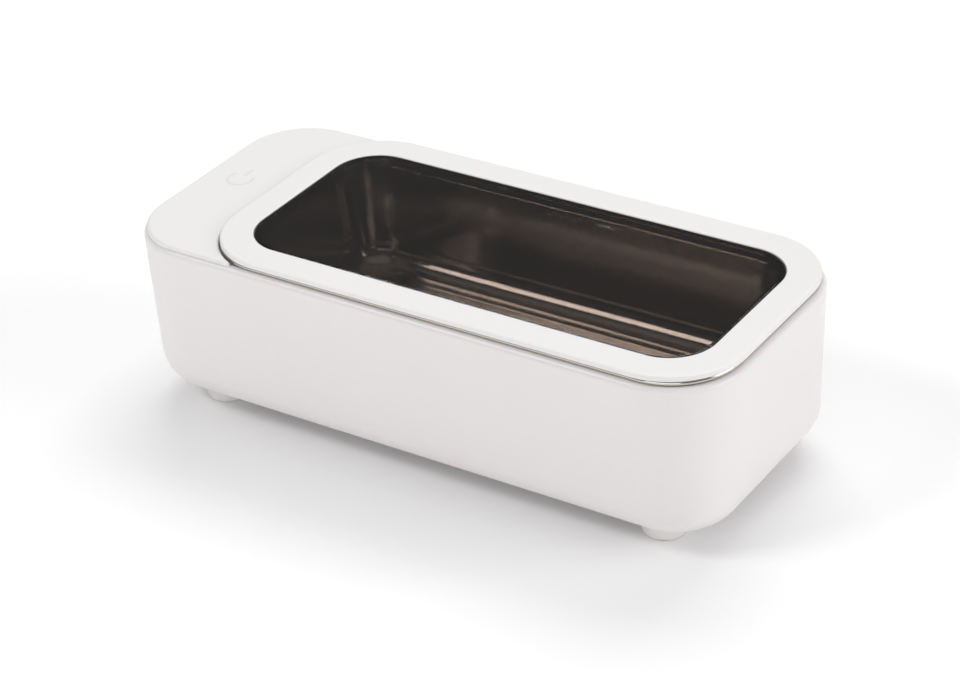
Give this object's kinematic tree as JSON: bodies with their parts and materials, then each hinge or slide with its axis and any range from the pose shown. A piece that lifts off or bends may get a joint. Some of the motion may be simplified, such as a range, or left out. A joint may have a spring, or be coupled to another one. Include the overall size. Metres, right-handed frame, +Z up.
{
  "type": "ultrasonic cleaner",
  "caption": "Oblong ultrasonic bath for jewellery and spectacles: white tub with a touch deck, pressed steel tank and a lift-off lid with a smoked window.",
  "frame": {"origin": "on the surface that the feet stand on, below the middle of the housing", "axes": "+X along the length, from the control deck to the far end of the tank; the front faces -Y; +Z up"},
  "size_m": [0.2098, 0.0914, 0.0636],
  "materials": {
    "shell_white": "satin white ABS",
    "cover_white": "fine-textured white ABS",
    "foot_white": "soft white silicone",
    "tank_steel": "polished pressed stainless steel",
    "seal_grey": "soft silicone",
    "pad_clear": "soft translucent silicone",
    "window_smoked": "smoked brown acrylic, polished",
    "icon_grey": "translucent light grey inlay",
    "aluminium": "machined",
    "ceramic": "fired piezo ceramic",
    "brass": "tinned brass sheet",
    "steel_screw": "zinc-plated steel",
    "board_green": "fibreglass board, solder mask",
    "black_plastic": "moulded black plastic",
    "socket_white": "moulded nylon",
    "ferrite": "sintered ferrite",
    "copper": "enamelled copper wire",
    "can_blue": "sleeved aluminium can",
    "film_red": "dipped resin",
    "foam": "conductive foam",
    "led_clear": "clear resin",
    "lead_red": "silicone insulation",
    "lead_black": "silicone insulation",
    "ribbon_grey": "flat cable"
  },
  "bodies": {
    "body": {"housing": "shell_white", "base_cover": "cover_white", "base_screws": "steel_screw", "foot_front_left": "foot_white", "foot_front_right": "foot_white", "foot_rear_left": "foot_white", "foot_rear_right": "foot_white", "tank": "tank_steel", "tank_gasket": "seal_grey", "transducer_block": "aluminium", "piezo_disc": "ceramic", "electrode_live": "brass", "electrode_return": "brass", "deck": "shell_white", "touch_icon": "icon_grey", "control_board": "board_green", "control_screws": "steel_screw", "touch_pad": "foam", "status_led": "led_clear", "controller_chip": "black_plastic", "buzzer": "black_plastic", "driver_board": "board_green", "driver_screws": "steel_screw", "transformer_core": "ferrite", "transformer_bobbin": "black_plastic", "transformer_coil": "copper", "choke_core": "ferrite", "choke_coil": "copper", "bulk_capacitor": "can_blue", "film_capacitor": "film_red", "heatsink": "aluminium", "power_transistor": "black_plastic", "transducer_socket": "socket_white", "power_socket": "socket_white", "signal_socket": "socket_white", "dc_jack_body": "black_plastic", "dc_jack_pin": "brass", "dc_jack_nut": "steel_screw", "dc_jack_lugs": "brass", "transducer_lead_live": "lead_red", "transducer_lead_return": "lead_black", "power_lead_positive": "lead_red", "power_lead_negative": "lead_black", "signal_ribbon": "ribbon_grey"},
    "lid": {"lid_ring": "shell_white", "lid_window": "window_smoked", "lid_pads": "pad_clear"}
  },
  "joints": [
    {"name": "lid_lift", "type": "slide", "parent": "body", "child": "lid", "axis": [0, 0, 1], "range_m": [0, 0.07]}
  ]
}
